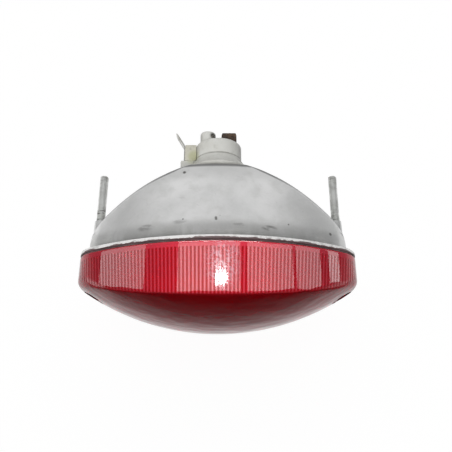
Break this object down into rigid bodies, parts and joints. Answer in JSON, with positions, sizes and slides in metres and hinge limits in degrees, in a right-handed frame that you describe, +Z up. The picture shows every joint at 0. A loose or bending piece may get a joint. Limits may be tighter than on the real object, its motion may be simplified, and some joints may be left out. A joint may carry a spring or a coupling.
{
  "type": "motorcycle tail light",
  "caption": "Oval tail and stop light: red crowned lens on a cast bowl, clamped by long through screws, with a twist-in holder for a bayonet bulb.",
  "frame": {"origin": "midway between the two mounting screws, in the plane where the housing's bosses meet the bracket", "axes": "+Y backwards along the screws into the bracket, the light shines along -Y; +Z up; +X along the lamp's width"},
  "size_m": [0.16, 0.1264, 0.076],
  "materials": {
    "cast_metal": "worn satin",
    "red_lens": "clear red, glossy",
    "black_rubber": "matte",
    "plated_steel": "dull zinc",
    "white_plastic": "aged, satin",
    "cream_plastic": "aged, satin",
    "tinned_metal": "dull",
    "corroded_steel": "rusty",
    "brass": "dull",
    "fibre_board": "matte",
    "spring_steel": "bright",
    "clear_glass": "clear",
    "tungsten": "dull"
  },
  "bodies": {
    "housing": {"housing": "cast_metal", "holder_seal": "black_rubber"},
    "lens": {"lens": "red_lens", "lens_gasket": "black_rubber"},
    "washer_left": {"screw_seal_left": "black_rubber"},
    "washer_right": {"screw_seal_right": "black_rubber"},
    "screw_left": {"screw_left": "plated_steel"},
    "screw_right": {"screw_right": "plated_steel"},
    "holder": {"holder_collar": "white_plastic", "holder_cap": "white_plastic", "terminal_block": "cream_plastic", "earth_blade": "tinned_metal", "tail_terminal": "brass", "stop_terminal": "corroded_steel", "socket_shell": "brass", "contact_spring": "spring_steel"},
    "carrier": {"contact_carrier": "fibre_board", "stop_contact": "brass", "tail_contact": "brass"},
    "bulb": {"bulb_base": "brass", "bulb_pins": "brass", "bulb_contacts": "tinned_metal", "bulb_glass": "clear_glass", "bulb_stem": "clear_glass", "stop_filament": "tungsten", "tail_filament": "tungsten"}
  },
  "joints": [
    {"name": "lens_off", "type": "slide", "parent": "housing", "child": "lens", "axis": [0, -1, 0], "range_m": [0, 0.08]},
    {"name": "screw_left_out", "type": "slide", "parent": "lens", "child": "washer_left", "axis": [0, -1, 0], "range_m": [0, 0.08]},
    {"name": "screw_right_out", "type": "slide", "parent": "lens", "child": "washer_right", "axis": [0, -1, 0], "range_m": [0, 0.08]},
    {"name": "screw_left_turn", "type": "hinge", "parent": "washer_left", "child": "screw_left", "pos_m": [-0.07075, 0, 0], "axis": [0, 1, 0], "continuous": true},
    {"name": "screw_right_turn", "type": "hinge", "parent": "washer_right", "child": "screw_right", "pos_m": [0.07075, 0, 0], "axis": [0, 1, 0], "continuous": true},
    {"name": "holder_twist", "type": "hinge", "parent": "housing", "child": "holder", "pos_m": [0, 0.0275, 0], "axis": [0, 1, 0], "range_deg": [0, 45]},
    {"name": "bulb_push", "type": "slide", "parent": "holder", "child": "bulb", "axis": [0, 1, 0], "range_m": [0, 0.0025], "stiffness_N_per_m": 1500, "springref_m": -0.004},
    {"name": "carrier_push", "type": "slide", "parent": "holder", "child": "carrier", "axis": [0, 1, 0], "range_m": [0, 0.0025], "deforming": ["contact_spring"]}
  ],
  "couplings": [
    {"joint": "carrier_push", "follows": "bulb_push", "ratio": 1}
  ]
}
